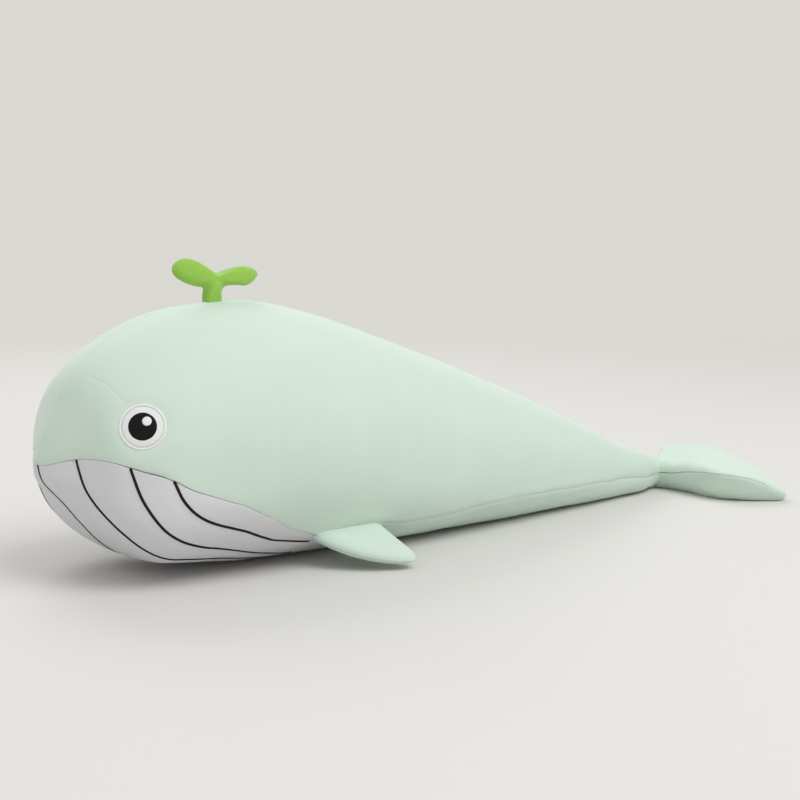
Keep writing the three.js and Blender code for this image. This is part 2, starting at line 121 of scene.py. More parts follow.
# The roundness of a flat limb beside its seam: how far it reaches, and its shape
BULGE_REACH = 0.025
BULGE_FOOT = 0.06
BULGE_SEAM = 0.1

# How far the second pass of a fit reaches, against the first
BODY_FIT_AGAIN = 0.4
LIMB_FIT_AGAIN = 0.6

# A throat line: the sides of its solid, a step along it, the faces across it, the
# steps over which its course is evened, those past its end at which its taper
# would close, and those from one place that it pulls in to the next
LINE_SIDES = 4
THREAD_STEP = 0.0002
THREAD_FACES = 6
EVEN_REACH = 20
END_STEPS = 2
PULL_EVERY = 5

# The stitches, the crown of a patch of them, and the height from which a piece is
# laid on the head
STITCH_PITCH = 0.0006
STITCH_RIDGE = 0.14
RING_STITCHES = 200
STITCH_FACES = 3
RING_SIDES = 12
PATCH_CROWN = 6
LAY_FROM = 0.03

# The colour of the fibre, how much the textures of the pile show, and how dark the painted shade
# along the seams is and how much of it shows
FIBRE = (0.92, 0.91, 0.87)
FIBRES_SHOW = 0.25
KNIT_SCALE = 0.45
KNIT_SHOW = 0.4
CREASE_PAINTED_SHADE = 0.86
CREASE_SHADE_SHOW = 0.4

# The thread: a band of the wave texture at a scale of 1, the slant of its rows, and
# how far its gloss varies
WAVE_LENGTH = 0.314
THREAD_SLANT = math.radians(20)
GLOSS_BELOW = 0.08
GLOSS_ABOVE = 0.12

# The dart from the seam of the back to the eye, on one side of the head
DART = ((-0.4012, 0.006, 0.1716), (-0.4015, 0.0117, 0.1708), (-0.4008, 0.0265, 0.1677),
        (-0.3974, 0.0415, 0.1646), (-0.3958, 0.052, 0.1591), (-0.3928, 0.0638, 0.1516))
DART_FADE = 0.03
DART_CUT_REACH = 0.005
DART_CUTS = 3
EYE_CUTS = 1

# The outer throat lines leave the solids' lines here and run to the front of the fins
LINE_TURN = -0.262
LINE_ENDS = ((-0.2464, 0.0771, 0.0245), (-0.2240, 0.0741, 0.0214))

# The length of the tail's end that bends along with the turn of the fluke
TAIL_BEND = 0.045

# The lamps: name, place, what each aims at, size and energy
LAMPS = (
    ("window", (0.35, -1.9, 2.7), (0, 0, 0.1), 2.2, 55.0),
    ("fill", (-2.6, -1.6, 1.4), (-0.2, 0, 0.1), 2.0, 5.0),
    ("back", (0.4, 2.4, 2.2), (0, 0, 0.1), 1.8, 34.0),
)
ROOM_STRENGTH = 0.62


def a_length(name, description, default):
    return bpy.props.FloatProperty(name=name, description=description, default=default,
                                   subtype="DISTANCE", unit="LENGTH")


def a_number(name, description, default):
    return bpy.props.FloatProperty(name=name, description=description, default=default)


def a_color(name, description, default):
    return bpy.props.FloatVectorProperty(name=name, description=description, default=default,
                                         subtype="COLOR", size=3, min=0, max=1)


class WhaleFabric(bpy.types.PropertyGroup):
    """Colours of the fabrics and threads"""

    mint: a_color("Mint", "Fabric of the back, the belly and the limbs", (0.603, 0.735, 0.640))
    throat: a_color("Throat", "Pale fabric under the jaw", (0.68, 0.68, 0.70))
    sprout: a_color("Sprout", "Fleece of the sprout", (0.30, 0.56, 0.08))
    eye: a_color("Eye", "Disc of an eye", (0.80, 0.82, 0.80))
    dark_thread: a_color(
        "Dark thread", "Thread of the throat lines and the pupils", (0.006, 0.006, 0.007))
    light_thread: a_color(
        "Light thread", "Thread of the rings and glints of the eyes", (0.86, 0.86, 0.85))


class WhaleStuffing(bpy.types.PropertyGroup):
    """How full the whale is and how its fabric is sewn"""

    body_voxel: a_length("Body grain", "Cell of the body's remeshed form", 0.005)
    limb_voxel: a_length("Limb grain", "Cell of the limbs' remeshed forms", 0.004)
    sprout_voxel: a_length("Sprout grain", "Cell of the sprout's remeshed form", 0.0018)
    pressure: a_number("Pressure", "Push of the stuffing on the fabric", 4.0)
    body_swell: a_length(
        "Body swell", "The most that the stuffing moves the body's fabric", 0.0022)
    limb_swell: a_length(
        "Limb swell", "The most that the stuffing moves a limb's fabric", 0.0012)
    fabric: a_length("Fabric", "Thickness of the fabric with its pile", 0.0012)
    seam_depth: a_length("Seam depth", "How far the fabric turns in at a seam", 0.0010)
    pucker: a_length("Pucker", "Height of the small folds along a seam", 0.0004)
    back_seam: a_number("Back seam", "Strength of the seam of the back behind the sprout", 0.5)
    back_seam_front: a_number(
        "Front back seam", "Strength of the seam of the back before the sprout", 0.06)
    tail_reach: a_length(
        "Tail reach", "How far the tail's end reaches over the fluke's root", 0.0055)
    fin_root: a_length("Fin root", "Half the length of a fin's root", 0.032)
    fin_pull: a_length("Fin pull", "How far a fin's root pulls the body's fabric out", 0.0035)
    fin_pull_reach: a_length(
        "Fin pull reach", "How far round a fin's root its pull reaches", 0.018)
    jaw_seam: a_number("Jaw seam", "Strength of the seam round the throat", 0.45)
    tail_seam: a_number("Tail seam", "Strength of the seam between the tail and the fluke", 0.3)
    nose_reach: a_length("Nose reach", "How far round the nose the seams are softer", 0.012)
    nose_close: a_length(
        "Nose close", "How far the fabric is gathered together at the nose", 0.0016)
    body_keep_off: a_length(
        "Body fit from", "Distance from the seams where the fit begins", 0.009)
    body_fit_reach: a_length(
        "Body fit reach", "Reach of each point that the body is fitted to", 0.03)
    stuffing_gap: a_length(
        "Stuffing gap", "How deep the stuffing lies under the fabric's face", 0.004)
    eye_radius: a_length("Eye radius", "Radius that the fabric sinks round an eye", 0.0185)
    eye_sink: a_length("Eye sink", "How far the fabric sinks at an eye", 0.0012)
    eye_sink_reach: a_length("Eye sink reach", "Width of the hollow round an eye", 0.005)
    dart_depth: a_length("Dart depth", "Depth of the dart over the eye", 0.0003)
    dart_reach: a_length("Dart reach", "Half width of the dart over the eye", 0.0012)
    line_depth: a_length("Channel depth", "How far the throat lines pull the fabric in", 0.0012)
    line_reach: a_length(
        "Channel reach", "Half width of the channels under the throat lines", 0.0045)


class WhaleThread(bpy.types.PropertyGroup):
    """Sizes of the embroidery"""

    line_width: a_length("Line width", "Width of a throat line", 0.0028)
    line_height: a_length("Line height", "Height of a throat line's stitches", 0.0008)
    sink: a_length("Sink", "How deep the stitches' edges lie in the fabric", 0.0002)
    eye_radius: a_length("Eye radius", "Outer radius of an eye's ring", 0.0185)
    ring_width: a_length("Ring width", "Width of an eye's ring", 0.0020)
    ring_height: a_length("Ring height", "Height of an eye's ring", 0.0009)
    pupil_radius: a_length("Pupil radius", "Radius of a pupil", 0.0113)
    glint_radius: a_length("Glint radius", "Radius of a glint", 0.0038)
    glint_back: a_length("Glint back", "How far back a glint lies in its eye", 0.0041)
    glint_up: a_length("Glint up", "How far up a glint lies in its eye", 0.0032)
    patch_height: a_length("Stitch height", "Height of an eye's filled stitches", 0.0006)
    disc_foot: a_length("Disc foot", "Height at which an eye's disc starts", 0.0001)
    pupil_foot: a_length("Pupil foot", "Height at which a pupil starts", 0.0006)
    glint_foot: a_length("Glint foot", "Height at which a glint starts", 0.0011)


class WhaleView(bpy.types.PropertyGroup):
    """Camera and room"""

    camera_place: bpy.props.FloatVectorProperty(
        name="Camera", description="Place of the camera",
        subtype="TRANSLATION", unit="LENGTH", size=3, default=(-0.994259, -1.167, 0.3035))
    heading: bpy.props.FloatProperty(
        name="Heading", description="Turn of the camera towards the tail",
        subtype="ANGLE", unit="ROTATION", default=math.radians(38.46))
    pitch: bpy.props.FloatProperty(
        name="Pitch", description="How far the camera looks down",
        subtype="ANGLE", unit="ROTATION", default=math.radians(6.9))
    lens: a_number("Lens", "Focal length in millimetres", 72.0)
    floor_radius: a_length("Floor", "Radius of the floor", 30.0)
    fade_start: a_length(
        "Fade from", "Distance at which the floor starts to look like the wall", 0.6)
    fade_end: a_length("Fade to", "Distance at which the floor looks just like the wall", 2.6)
    floor: a_color("Floor colour", "Colour of the floor and the room", (0.68, 0.67, 0.65))
    wall: a_color("Wall colour", "Colour seen behind the whale", (0.70, 0.69, 0.65))
    room_light: a_color("Room light", "Colour of the light from all sides", (0.97, 0.96, 0.95))


# Selecting and applying

def deselect():
    for obj in bpy.context.selected_objects:
        obj.select_set(False)


def only(*objs):
    deselect()
    for obj in objs:
        obj.select_set(True)
    bpy.context.view_layer.objects.active = objs[0]
    return objs[0]


def edit(obj, action="SELECT"):
    only(obj)
    bpy.ops.object.mode_set(mode="EDIT")
    bpy.ops.mesh.select_mode(type="VERT")
    bpy.ops.mesh.select_all(action=action)


def edited():
    bpy.ops.object.mode_set(mode="OBJECT")


def modify(obj, kind, **values):
    """Adds a modifier with these values and applies it"""
    only(obj)
    added = obj.modifiers.new(kind.lower(), kind)
    for name, value in values.items():
        setattr(added, name, value)
    bpy.ops.object.modifier_apply(modifier=added.name)


def twin(obj, name):
    only(obj)
    bpy.ops.object.duplicate()
    made = bpy.context.active_object
    made.name = name
    return made


def joined(objs, name):
    made = only(*objs)
    bpy.ops.object.join()
    made.name = name
    return made


def drop(obj):
    bpy.data.objects.remove(obj)


# Sheets, seams and stuffed forms

def outer_sheet(name):
    """The outer face of a panel's solid, as an open sheet of quads"""
    obj = bpy.data.objects.new(name + "_sheet", frame["nodes"][name].data.copy())
    obj.data.materials.clear()
    bpy.context.scene.collection.objects.link(obj)
    edit(obj)
    bpy.ops.mesh.remove_doubles(threshold=CAD_MERGE)
    bpy.ops.mesh.select_all(action="DESELECT")
    bpy.ops.mesh.select_mode(type="FACE")
    out = Vector(PANEL_OUT[name])
    form = bmesh.from_edit_mesh(obj.data)
    max(form.faces, key=lambda face: face.calc_center_median().dot(out)).select_set(True)
    bmesh.update_edit_mesh(obj.data)
    bpy.ops.mesh.faces_select_linked_flat(
        sharpness=STEEP_ANGLE if name in STEEP_PANELS else FLAT_ANGLE)
    bpy.ops.mesh.select_all(action="INVERT")
    bpy.ops.mesh.delete(type="FACE")
    bpy.ops.mesh.select_all(action="SELECT")
    bpy.ops.mesh.tris_convert_to_quads(face_threshold=math.pi, shape_threshold=math.pi)
    edited()
    return obj


def rim_points(objs):
    """Points along the open edges of sheets"""
    points = []
    for obj in objs:
        form = bmesh.new()
        form.from_mesh(obj.data)
        for edge in form.edges:
            if edge.is_boundary:
                a, b = (vert.co for vert in edge.verts)
                count = max(1, math.ceil((b - a).length / RIM_STEP))
                points += [a.lerp(b, i / count) for i in range(count + 1)]
        form.free()
    return points


def tree_of(points):
    tree = KDTree(len(points))
    for i, point in enumerate(points):
        tree.insert(point, i)
    tree.balance()
    return tree


def surface_of(obj):
    form = bmesh.new()
    form.from_mesh(obj.data)
    tree = BVHTree.FromBMesh(form)
    form.free()
    return tree


def move_points(obj, shift):
    """Moves each vertex by what shift gives for its place and normal"""
    data = obj.data
    normals = [vert.normal.copy() for vert in data.vertices]
    moves = [shift(vert.co, normal) for vert, normal in zip(data.vertices, normals)]
    for vert, move in zip(data.vertices, moves):
        vert.co += move
    data.update()


def closed_form(sheets, name, voxel):
    """One closed form from sheets that meet at their seams, evenly remeshed"""
    form = joined([twin(sheet, sheet.name + "_part") for sheet in sheets], name)
    edit(form)
    bpy.ops.mesh.remove_doubles(threshold=SEAM_MERGE)
    bpy.ops.mesh.select_all(action="SELECT")
    bpy.ops.mesh.fill_holes(sides=0)
    bpy.ops.mesh.select_all(action="SELECT")
    bpy.ops.mesh.normals_make_consistent(inside=False)
    edited()
    modify(form, "SUBSURF", levels=FORM_LEVELS, render_levels=FORM_LEVELS)
    modify(form, "REMESH", mode="VOXEL", voxel_size=voxel)
    return form


def mean_of(places, values, radius):
    """A function that gives the softly averaged value of the nearest places"""
    tree = tree_of(places)

    def mean(place):
        total, weights = Vector(), 0.0
        for _, i, away in tree.find_n(place, NEIGHBOURS):
            weight = math.exp(-(away / radius) ** 2) + LEAST_WEIGHT
            total += values[i] * weight
            weights += weight
        return total / weights

    return mean


def stuff(form, seams, swell, pressure, voxel):
    """Swells a closed form with cloth pressure, held along its seams. It starts
    smaller by the swell, and no point moves further than that from there. Gives
    how the fabric moved and the way out of it, each as a function of the place,
    and leaves the form as it was."""
    begin = [vert.co.copy() for vert in form.data.vertices]
    normals = [vert.normal.copy() for vert in form.data.vertices]
    pinned = [max(0.0, 1 - seams.find(place)[2] / PIN_REACH) for place in begin]
    move_points(form, lambda place, normal: -swell * normal)
    rest = [vert.co.copy() for vert in form.data.vertices]
    held = form.vertex_groups.new(name="held")
    for i, pin in enumerate(pinned):
        held.add([i], pin, "REPLACE")
    only(form)
    cloth = form.modifiers.new("cloth", "CLOTH")
    cloth.settings.use_pressure = True
    cloth.settings.uniform_pressure_force = pressure
    cloth.settings.effector_weights.gravity = 0
    cloth.settings.vertex_group_mass = held.name
    cloth.point_cache.frame_start = 1
    cloth.point_cache.frame_end = SIM_FRAMES
    for step in range(1, SIM_FRAMES + 1):
        bpy.context.scene.frame_set(step)
    bpy.ops.object.modifier_apply(modifier=cloth.name)
    for vert, start in zip(form.data.vertices, rest):
        move = vert.co - start
        if move.length > swell:
            vert.co = start + move.normalized() * swell
    form.data.update()
    moves = [vert.co - start for vert, start in zip(form.data.vertices, begin)]
    for vert, start in zip(form.data.vertices, begin):
        vert.co = start
    return mean_of(begin, moves, voxel), mean_of(begin, normals, voxel)


def fitted(cages, panels, moved, radii, kept):
    """What still brings the swollen fabric back to the size of the sheets that it
    was made from, by what it misses at the sheets' points"""
    places, misses = [], []
    for cage, made in zip(cages, panels):
        for corner, vert in zip(cage.data.vertices, made.data.vertices):
            if kept(corner.co):
                places.append(vert.co.copy())
                misses.append(corner.co - vert.co - moved(vert.co))
    parts = []
    for radius in radii:
        part = mean_of(places, misses, radius)
        misses = [miss - part(place) for place, miss in zip(places, misses)]
        parts.append(part)
    return lambda place: sum((part(place) for part in parts), Vector())


def select_near(obj, tree, reach):
    """Selects the faces of an object that lie near a tree's points"""
    edit(obj, "DESELECT")
    bpy.ops.mesh.select_mode(type="FACE")
    form = bmesh.from_edit_mesh(obj.data)
    for face in form.faces:
        face.select_set(tree.find(face.calc_center_median())[2] < reach)
    bmesh.update_edit_mesh(obj.data)


def fine_sheet(sheet, name, levels):
    """A smooth fine copy of a sheet. Its first points are the sheet's own."""
    made = twin(sheet, name)
    modify(made, "SUBSURF", levels=levels, render_levels=levels,
           boundary_smooth="PRESERVE_CORNERS")
    return made


def refine(made, details=()):
    """Cuts a panel finer at its edges and at its details"""
    edit(made, "DESELECT")
    bpy.ops.mesh.select_mode(type="EDGE")
    fine = bmesh.from_edit_mesh(made.data)
    for edge in fine.edges:
        ends = [vert.is_boundary for vert in edge.verts]
        edge.select_set(ends[0] != ends[1])
    bmesh.update_edit_mesh(made.data)
    bpy.ops.mesh.subdivide(number_cuts=EDGE_CUTS)
    edited()
    for tree, reach, detail_cuts in details:
        select_near(made, tree, reach)
        bpy.ops.mesh.subdivide(number_cuts=detail_cuts)
        edited()


def sew(made, seams, carry, outward, depth, pucker, strength, more=None):
    """Carries a panel along with the stuffing, turns it in towards its seams and puckers it
    there. It also notes how near each point is to a seam, which the fabric's material reads to
    paint shade into the fabric along the seams."""
    def shift(place, normal):
        seam, _, away = seams.find(place)
        firm = strength(seam)
        fold = noise.noise(seam * PUCKERS_PER_METRE) * math.exp(-away / PUCKER_REACH)
        uneven = noise.noise(place * LUMPS_PER_METRE) * LUMP * min(1, away / PUCKER_REACH)
        height = (firm * pucker * fold * min(1, away / SEAM_REACH) + uneven
                  - firm * depth * math.exp(-(away / SEAM_REACH) ** SEAM_EDGE))
        return carry(place) + outward(place) * (height + (more(place) if more else 0.0))

    # Nearness to a seam, scaled by the seam's strength: the mask of the painted shade along the
    # seams
    near = made.data.attributes.new("painted_seam_shade", "FLOAT", "POINT")
    for vert, item in zip(made.data.vertices, near.data):
        seam, _, away = seams.find(vert.co)
        item.value = strength(seam) * math.exp(-away / SEAM_SHADE_REACH)
    move_points(made, shift)


def smooth_inside(made, times, seam_height, crown):
    """Rounds a panel's shoulders. Its edge stays, and its full height over the
    seam ends up crown times as high as it was."""
    def height():
        return max(abs(vert.co.z - seam_height) for vert in made.data.vertices)

    full = height()
    form = bmesh.new()
    form.from_mesh(made.data)
    inner = [vert.index for vert in form.verts if not vert.is_boundary]
    form.free()
    group = made.vertex_groups.new(name="inner")
    group.add(inner, 1.0, "REPLACE")
    modify(made, "SMOOTH", factor=0.5, iterations=times, vertex_group=group.name)
    lift = crown * full / height()
    for vert in made.data.vertices:
        vert.co.z = seam_height + (vert.co.z - seam_height) * lift
    made.data.update()


def softened(panels, outward, radius):
    """A move that rounds a form's edges: from each place, in or out, to the middle
    of the fabric round it"""
    cells = {}
    for made in panels:
        for vert in made.data.vertices:
            cell = tuple(round(part * 2 / radius) for part in vert.co)
            cells.setdefault(cell, vert.co.copy())
    places = list(cells.values())
    mean = mean_of(places, places, radius)

    def inwards(place, normal):
        out = outward(place).normalized()
        return out * (mean(place) - place).dot(out)

    return inwards


def grounded(made):
    """Keeps a piece on the floor"""
    for vert in made.data.vertices:
        vert.co.z = max(vert.co.z, 0.0)
    made.data.update()


def thicken(made, thickness):
    modify(made, "SOLIDIFY", thickness=thickness, offset=-1)
    only(made)
    bpy.ops.object.shade_smooth()


def middle_of(points):
    return sum(points, Vector()) / len(points)


def merged_form(name):
    """The mesh of a solid with its doubles merged"""
    form = bmesh.new()
    form.from_mesh(frame["nodes"][name].data)
    bmesh.ops.remove_doubles(form, verts=form.verts, dist=CAD_MERGE)
    return form


def line_points(name):
    """The middle line of a throat line's solid, ring by ring from its front end.
    Each end of the solid is closed in one point, where four edges meet."""
    form = merged_form(name)
    front = min((vert for vert in form.verts if len(vert.link_edges) == LINE_SIDES),
                key=lambda vert: vert.co.x)
    seen, ring, points = {front}, [front], []
    while ring:
        points.append(middle_of([vert.co for vert in ring]))
        beside = {edge.other_vert(vert) for vert in ring for edge in vert.link_edges}
        ring = sorted(beside - seen, key=lambda vert: vert.co[:])
        seen.update(ring)
    form.free()
    return points[1:-1]


def smooth_path(points, step):
    """Points a step apart on a smooth curve through the given ones"""
    ends = [2 * points[0] - points[1], *points, 2 * points[-1] - points[-2]]
    fine = []
    for before, start, end, after in zip(ends, ends[1:], ends[2:], ends[3:]):
        count = max(1, round((end - start).length / step))
        for i in range(count):
            t = i / count
            fine.append(0.5 * (2 * start + (end - before) * t
                               + (2 * before - 5 * start + 4 * end - after) * t ** 2
                               + (3 * start - before - 3 * end + after) * t ** 3))
    return [*fine, points[-1]]


def evened(feet):
    """Places and normals along a line, each averaged with its neighbours"""
    even = []
    for i in range(len(feet)):
        reach = min(EVEN_REACH, i, len(feet) - 1 - i)
        near = feet[i - reach:i + reach + 1]
        even.append((middle_of([foot for foot, _ in near]),
                     middle_of([out for _, out in near]).normalized()))
    return even


def line_path(name):
    """The whole way of a throat line, in steps of the thread"""
    points = line_points("throat_line_" + name)
    if name.endswith("3"):
        sign = -1 if name.startswith("left") else 1
        points = [point for point in points if point.x < LINE_TURN]
        points += [Vector((x, sign * y, z)) for x, y, z in LINE_ENDS]
    return smooth_path(points, THREAD_STEP)


def eye_frame(side, surface):
    """Middle of an eye on the head, with its directions back, up and out"""
    form = merged_form("eye_ring_" + side)
    middle = middle_of([vert.co for vert in form.verts])
    form.free()
    middle, out = surface.find_nearest(middle)[:2]
    back = (Vector((1, 0, 0)) - out * out.x).normalized()
    up = out.cross(back)
    return middle, back, up if up.z > 0 else -up, out


def lay(obj, place, surface):
    """Lays a flat piece, drawn back, up and out, on the curved head"""
    middle, back, up, out = place
    for vert in obj.data.vertices:
        over = middle + back * vert.co.x + up * vert.co.y + out * LAY_FROM
        vert.co = surface.ray_cast(over, -out)[0] + out * vert.co.z
    obj.data.update()


def patch(name, radius, height, foot, rings=10, segments=96):
    """A round patch of stitches with a crowned top and soft edges"""
    deselect()
    bpy.ops.mesh.primitive_circle_add(vertices=segments, radius=radius, fill_type="NGON")
    made = bpy.context.active_object
    made.name = name
    edit(made)
    bpy.ops.mesh.select_mode(type="FACE")
    for _ in range(rings):
        bpy.ops.mesh.inset(thickness=radius / (rings + 1))
    bpy.ops.mesh.poke()
    edited()
    for vert in made.data.vertices:
        share = min(1.0, vert.co.xy.length / radius)
        vert.co.z = foot + height * (1 - share ** PATCH_CROWN)
    return made


def satin_ring(name, radius, width, height):
    """A ring of satin stitches laid across it"""
    deselect()
    bpy.ops.mesh.primitive_torus_add(
        major_radius=radius - width / 2, minor_radius=width / 2,
        major_segments=STITCH_FACES * RING_STITCHES, minor_segments=RING_SIDES)
    made = bpy.context.active_object
    made.name = name
    for vert in made.data.vertices:
        ridge = 1 + STITCH_RIDGE * math.cos(math.atan2(vert.co.y, vert.co.x) * RING_STITCHES)
        vert.co.z *= height / (width / 2) * ridge
    return made


def face_out(obj):
    """Turns a closed piece's faces outwards and shades it smooth"""
    edit(obj)
    bpy.ops.mesh.normals_make_consistent(inside=False)
    edited()
    bpy.ops.object.shade_smooth()


# Materials

def give(tree, made, values):
    """Sets a node's inputs. Where the value is a socket, it is linked."""
    for name, value in values.items():
        if isinstance(value, bpy.types.NodeSocket):
            tree.links.new(value, made.inputs[name])
        else:
            made.inputs[name].default_value = value


def node(tree, kind, values=None, **settings):
    """A new node with these settings and these values or links on its inputs"""
    made = tree.nodes.new(kind)
    for name, value in settings.items():
        setattr(made, name, value)
    give(tree, made, values or {})
    return made


def mixed(tree, share, first, second, kind="FLOAT"):
    return node(tree, "ShaderNodeMix", {"Factor": share, "A": first, "B": second},
                data_type=kind).outputs["Result"]


def shaded(color, share):
    return (*[min(1, part * share) for part in color], 1)


def tint(tree, color, factor, light, dark):
    """A colour between a darker and a lighter shade of the fabric"""
    return mixed(tree, factor, shaded(color, dark), shaded(color, light), "RGBA")


def relief(tree, height, strength, distance):
    return node(tree, "ShaderNodeBump", {"Height": height, "Strength": strength,
                                         "Distance": distance}).outputs["Normal"]


def between(tree, value, low, high):
    return node(tree, "ShaderNodeMapRange", {"Value": value, "To Min": low,
                                             "To Max": high}).outputs["Result"]


def material(name, color, build):
    """A material whose shader gets what build returns for its node tree"""
    made = bpy.data.materials.new(name)
    made.use_nodes = True
    tree = made.node_tree
    shader = tree.nodes["Principled BSDF"]
    give(tree, shader, {"Base Color": (*color, 1)})
    give(tree, shader, build(tree))
    return made


def pile_fabric(name, color, sheen=0.35, fibre=1400, height=0.00012, dark=0.95, light=1.04):
    """Short pile: a soft sheen, brushed patches and fine fibres, with painted shade darkening it
    along the seams
    """
    def build(tree):
        place = node(tree, "ShaderNodeTexCoord").outputs["Object"]
        brushed = node(tree, "ShaderNodeTexNoise", {
            "Vector": place, "Scale": 22.0, "Detail": 3.0, "Roughness": 0.55}).outputs["Fac"]
        fibres = node(tree, "ShaderNodeTexNoise", {
            "Vector": place, "Scale": fibre, "Detail": 2.0, "Roughness": 0.6}).outputs["Fac"]
        knit = node(tree, "ShaderNodeTexVoronoi", {
            "Vector": place, "Scale": fibre * KNIT_SCALE}).outputs["Distance"]
        # Painted shade: the fabric is darkened towards the seams, where their creases would lie
        # in shade
        near = node(tree, "ShaderNodeAttribute", attribute_name="painted_seam_shade").outputs["Fac"]
        painted_crease_shade = node(tree, "ShaderNodeMath", {0: near, 1: CREASE_SHADE_SHOW}, operation="MULTIPLY")
        base = tint(tree, color, mixed(tree, FIBRES_SHOW, brushed, fibres), light, dark)
        return {
            "Base Color": mixed(tree, painted_crease_shade.outputs["Value"], base,
                                shaded(color, CREASE_PAINTED_SHADE), "RGBA"),
            "Roughness": between(tree, fibres, low=0.82, high=0.95),
            "Normal": relief(tree, mixed(tree, KNIT_SHOW, fibres, knit), strength=0.5,
                             distance=height),
            "Sheen Weight": sheen,
            "Sheen Roughness": 0.5,
            "Specular IOR Level": 0.2,
        }
    return material(name, color, build)


def stitches(name, color, pitch=0.0005, sheen=0.1, gloss=0.5, turn=0.0, shine=0.5):
    """Rows of embroidery thread: fine ridges with a soft shine, with painted shade between the
    rows and painted highlight on them
    """
    def build(tree):
        place = node(tree, "ShaderNodeTexCoord").outputs["Object"]
        turned = node(tree, "ShaderNodeMapping", {
            "Vector": place, "Rotation": (0, turn, THREAD_SLANT)}).outputs["Vector"]
        rows = node(tree, "ShaderNodeTexWave", {
            "Vector": turned, "Scale": WAVE_LENGTH / pitch, "Distortion": 1.2,
            "Detail": 2.0, "Detail Scale": 2.0}, bands_direction="Z").outputs["Fac"]
        return {
            # Painted shade and painted highlight: the thread's colour follows its ridges, darker
            # in the grooves and lighter on the crests
            "Base Color": tint(tree, color, rows, light=1.08, dark=0.86),
            "Roughness": between(tree, rows, gloss - GLOSS_BELOW, gloss + GLOSS_ABOVE),
            "Normal": relief(tree, rows, strength=0.6, distance=0.00015),
            "Sheen Weight": sheen,
            "Specular IOR Level": shine,
        }
    return material(name, color, build)


def fibre_fill():
    """Loose white fibre, one material for all the stuffing"""
    if "loose_fibre" in bpy.data.materials:
        return bpy.data.materials["loose_fibre"]

    def build(tree):
        place = node(tree, "ShaderNodeTexCoord").outputs["Object"]
        wisps = node(tree, "ShaderNodeTexNoise", {
            "Vector": place, "Scale": 180.0, "Detail": 6.0, "Distortion": 1.5}).outputs["Fac"]
        return {
            "Base Color": tint(tree, FIBRE, wisps, light=1.04, dark=0.9),
            "Roughness": 0.95,
            "Normal": relief(tree, wisps, strength=0.8, distance=0.001),
        }
    return material("loose_fibre", FIBRE, build)


def dress(obj, finish, slot_name, body, *nodes):
    """Gives a piece its finish, hides the nodes that it replaces and, unless it is blended
    across a joint, gives it its body. The slot name is not used."""
    obj.data.materials.clear()
    obj.data.materials.append(finish)
    if body:
        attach(obj, body)
    if nodes:
        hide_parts(*nodes)


# The pieces

